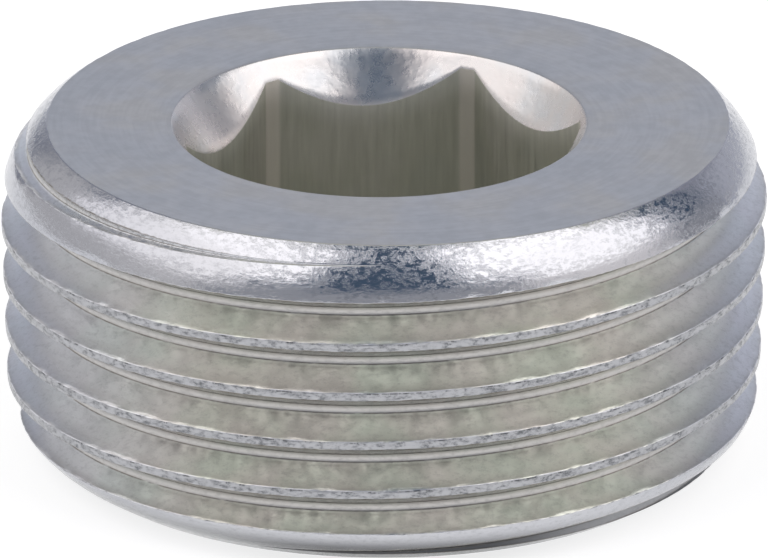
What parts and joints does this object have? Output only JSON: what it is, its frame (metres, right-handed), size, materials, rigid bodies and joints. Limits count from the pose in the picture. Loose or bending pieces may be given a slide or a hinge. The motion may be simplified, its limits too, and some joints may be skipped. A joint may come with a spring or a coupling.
{
  "type": "hex socket plug",
  "caption": "Short round threaded plug, tapered, with a chamfered flat face and a hexagonal key socket, for closing a tapped port.",
  "frame": {"origin": "centre of the flat small end, on the plug's axis", "axes": "+Z along the axis from the small end to the driving face; two flats of the hexagonal socket are square to Y"},
  "size_m": [0.0264, 0.0264, 0.0116],
  "materials": {
    "zinc_plate": "zinc-plated steel with a clear blue passivation, satin on the faces and brighter on the chamfers"
  },
  "bodies": {
    "root": {"plug_body": "zinc_plate"}
  },
  "joints": []
}
